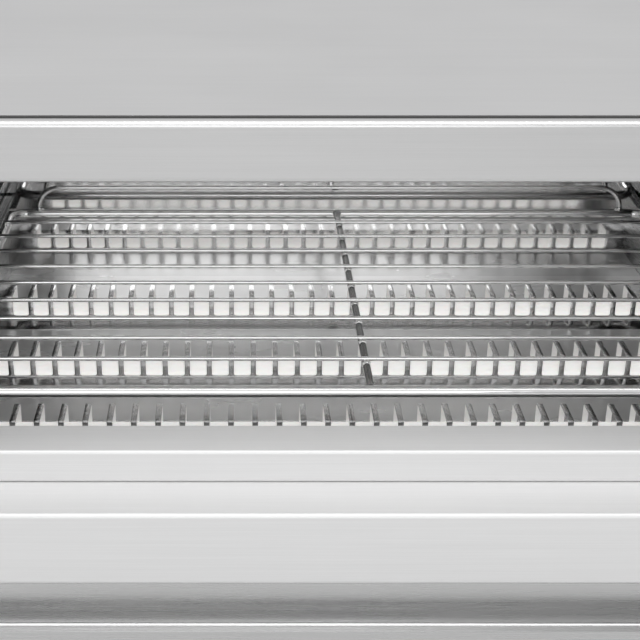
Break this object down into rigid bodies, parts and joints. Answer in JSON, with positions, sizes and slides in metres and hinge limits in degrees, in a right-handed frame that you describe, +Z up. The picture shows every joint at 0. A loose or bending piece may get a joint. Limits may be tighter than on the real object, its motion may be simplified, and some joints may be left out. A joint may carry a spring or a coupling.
{
  "type": "quartz infrared pizza oven",
  "caption": "Countertop stainless pizza oven with quartz tubes under slotted guards above and below a pull-out wire rack, with a crumb tray and rotary controls.",
  "frame": {"origin": "on the worktop under the middle of the oven", "axes": "+Z up, the mouth faces -Y, +X to the right seen from the front"},
  "size_m": [0.7044, 0.491, 0.327],
  "materials": {
    "casing": "brushed",
    "front_trim": "fine brushed",
    "liner": "satin",
    "tray": "satin",
    "reflector": "mirror polished",
    "guard": "bright",
    "quartz": "frosted white",
    "coil": "oxidised",
    "ceramic": "matte",
    "terminals": "plain",
    "earth_brass": "plain",
    "chrome_rod": "polished",
    "switch_plastic": "moulded",
    "shaft_steel": "turned",
    "knob_black": "satin",
    "lamp_green": "clear",
    "lamp_amber": "clear",
    "fibre": "fibrous",
    "wire_sleeve": "glass braid",
    "screw_steel": "plain",
    "foot_rubber": "moulded"
  },
  "bodies": {
    "housing": {"left_side_panel": "casing", "right_side_panel": "casing", "rear_panel": "casing", "top_cover": "casing", "left_stile": "casing", "control_panel": "casing", "base_pan": "casing", "hood_fascia": "front_trim", "front_apron": "front_trim", "mouth_sill": "front_trim", "cavity_left_wall": "liner", "cavity_right_wall": "liner", "left_rack_guides": "liner", "right_rack_guides": "liner", "tray_runners": "liner", "cavity_rear_wall": "reflector", "reflector_floor": "reflector", "reflector_ceiling": "reflector", "lower_cage_front": "guard", "lower_cage_middle": "guard", "lower_cage_rear": "guard", "upper_cage_front": "guard", "upper_cage_middle": "guard", "upper_cage_rear": "guard", "lower_tube_front": "quartz", "lower_tube_middle": "quartz", "lower_tube_rear": "quartz", "upper_tube_front": "quartz", "upper_tube_middle": "quartz", "upper_tube_rear": "quartz", "heating_coils": "coil", "ceramic_end_caps": "ceramic", "terminal_block": "ceramic", "heater_terminals": "terminals", "terminal_links": "terminals", "earth_stud": "earth_brass", "timer_body": "switch_plastic", "selector_body": "switch_plastic", "lamp_bodies": "switch_plastic", "cable_gland": "switch_plastic", "thermal_cutout": "switch_plastic", "power_lamp": "lamp_green", "heating_lamp": "lamp_amber", "ceiling_insulation": "fibre", "wiring_harness": "wire_sleeve", "cover_screws": "screw_steel", "base_screws": "screw_steel", "trim_screws": "screw_steel", "foot_screws": "screw_steel", "rubber_feet": "foot_rubber", "hood_seal": "foot_rubber"},
    "rack": {"rack_frame": "chrome_rod", "rack_crosswires": "chrome_rod", "rack_runner": "chrome_rod", "rack_back_stop": "chrome_rod"},
    "tray": {"crumb_tray": "tray"},
    "timer": {"timer_knob": "knob_black", "timer_shaft": "shaft_steel"},
    "selector": {"selector_knob": "knob_black", "selector_shaft": "shaft_steel"}
  },
  "joints": [
    {"name": "rack_slide", "type": "slide", "parent": "housing", "child": "rack", "axis": [0, -1, 0], "range_m": [0, 0.22]},
    {"name": "tray_slide", "type": "slide", "parent": "housing", "child": "tray", "axis": [0, -1, 0], "range_m": [0, 0.3]},
    {"name": "timer_turn", "type": "hinge", "parent": "housing", "child": "timer", "pos_m": [0.29, -0.1925, 0.226], "axis": [0, 1, 0], "range_deg": [0, 300]},
    {"name": "selector_turn", "type": "hinge", "parent": "housing", "child": "selector", "pos_m": [0.29, -0.1925, 0.158], "axis": [0, 1, 0], "range_deg": [0, 270]}
  ]
}
